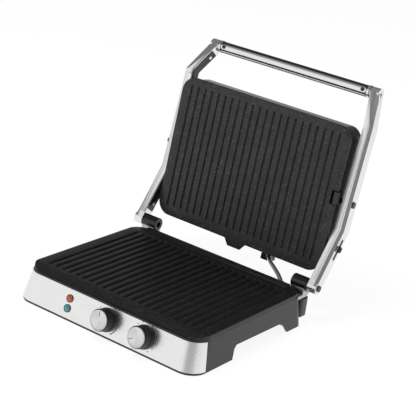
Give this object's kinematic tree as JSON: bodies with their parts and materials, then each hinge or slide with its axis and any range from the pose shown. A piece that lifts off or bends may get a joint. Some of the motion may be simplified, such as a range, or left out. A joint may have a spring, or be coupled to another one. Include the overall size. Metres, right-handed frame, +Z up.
{
  "type": "contact grill",
  "caption": "Open countertop contact grill: ribbed lower plate in a low case with front controls, floating ribbed lid carried between two bent arms joined by a bar handle.",
  "frame": {"origin": "middle of the footprint's box on the surface that the rubber feet stand on", "axes": "+X to the right along the handle's length, +Y to the rear where the lid's hinge is, +Z up"},
  "size_m": [0.3388, 0.4126, 0.328],
  "materials": {
    "painted_plastic": "matt dark grey moulded plastic",
    "black_plastic": "glossy black plastic",
    "panel_steel": "brushed along the width",
    "bright_metal": "polished",
    "reflector_sheet": "bright rolled sheet",
    "zinc_steel": "dull zinc plated",
    "plate_coating": "die-cast aluminium with a dark grey flecked non-stick coating",
    "arm_paint": "die-cast aluminium, satin grey finish",
    "handle_dark": "heat-proof plastic",
    "rubber": "matt",
    "element_sheath": "oxidised tube",
    "orange_lens": "translucent lens",
    "green_lens": "translucent lens",
    "conduit_black": "flexible sleeve"
  },
  "bodies": {
    "base": {"base_housing": "painted_plastic", "bottom_cover": "zinc_steel", "front_panel": "panel_steel", "rubber_feet": "rubber", "lower_reflector": "reflector_sheet", "lower_heating_element": "element_sheath", "thermostat": "black_plastic", "timer": "black_plastic", "terminal_block": "black_plastic", "orange_lamp": "orange_lens", "green_lamp": "green_lens", "lamp_bezels": "black_plastic", "left_hinge_bracket": "zinc_steel", "right_hinge_bracket": "zinc_steel", "left_hinge_barrel": "black_plastic", "right_hinge_barrel": "black_plastic", "hinge_pins": "zinc_steel", "cord_gland": "black_plastic", "base_conduit_gland": "black_plastic", "lid_conduit": "conduit_black"},
    "arms": {"left_arm": "arm_paint", "right_arm": "arm_paint", "left_arm_liner": "black_plastic", "right_arm_liner": "black_plastic", "handle_bar": "handle_dark", "handle_strip": "panel_steel", "handle_screws": "black_plastic", "handle_collars": "bright_metal", "liner_screws": "bright_metal", "handle_bolts": "black_plastic", "float_pins": "zinc_steel"},
    "lid": {"lid_housing": "painted_plastic", "lid_cover": "panel_steel", "upper_reflector": "reflector_sheet", "upper_heating_element": "element_sheath", "lid_conduit_gland": "black_plastic", "release_spring": "zinc_steel", "release_post": "black_plastic"},
    "release": {"release_button": "black_plastic"},
    "upper_grill_plate": {"upper_plate": "plate_coating"},
    "lower_grill_plate": {"lower_plate": "plate_coating"},
    "temperature_dial": {"temperature_knob": "black_plastic", "temperature_knob_cap": "bright_metal"},
    "timer_dial": {"timer_knob": "black_plastic", "timer_knob_cap": "bright_metal"},
    "tray": {"drip_tray": "painted_plastic"},
    "lock": {"lock_slider": "black_plastic"}
  },
  "joints": [
    {"name": "lid_hinge", "type": "hinge", "parent": "base", "child": "arms", "pos_m": [0, 0.082, 0.056], "axis": [-1, 0, 0], "range_deg": [-107.9, 0], "deforming": ["lid_conduit"]},
    {"name": "lid_levelling", "type": "hinge", "parent": "arms", "child": "lid", "pos_m": [0, 0.1415, 0.1693], "axis": [1, 0, 0], "range_deg": [-9.8, 0.1], "deforming": ["lid_conduit"]},
    {"name": "release_push", "type": "slide", "parent": "lid", "child": "release", "axis": [-1, 0, 0], "range_m": [0, 0.004], "stiffness_N_per_m": 400, "springref_m": -0.004, "deforming": ["release_spring"]},
    {"name": "upper_plate_lift", "type": "slide", "parent": "lid", "child": "upper_grill_plate", "axis": [0, -0.9898, 0.1426], "range_m": [0, 0.025]},
    {"name": "lower_plate_lift", "type": "slide", "parent": "base", "child": "lower_grill_plate", "axis": [0, 0, 1], "range_m": [0, 0.025]},
    {"name": "temperature_turn", "type": "hinge", "parent": "base", "child": "temperature_dial", "pos_m": [0.0035, -0.18723, 0.02655], "axis": [0, 0.9634, -0.2682], "range_deg": [0, 270]},
    {"name": "timer_turn", "type": "hinge", "parent": "base", "child": "timer_dial", "pos_m": [0.068, -0.18723, 0.02655], "axis": [0, 0.9634, -0.2682], "range_deg": [0, 300]},
    {"name": "drip_tray_pull", "type": "slide", "parent": "base", "child": "tray", "axis": [0, 1, 0], "range_m": [0, 0.045]},
    {"name": "lock_slide", "type": "slide", "parent": "arms", "child": "lock", "axis": [0, 0.5829, 0.8125], "range_m": [-0.009, 0.009]}
  ],
  "couplings": [
    {"joint": "lid_levelling", "follows": "lid_hinge", "ratio": 0.0899}
  ]
}
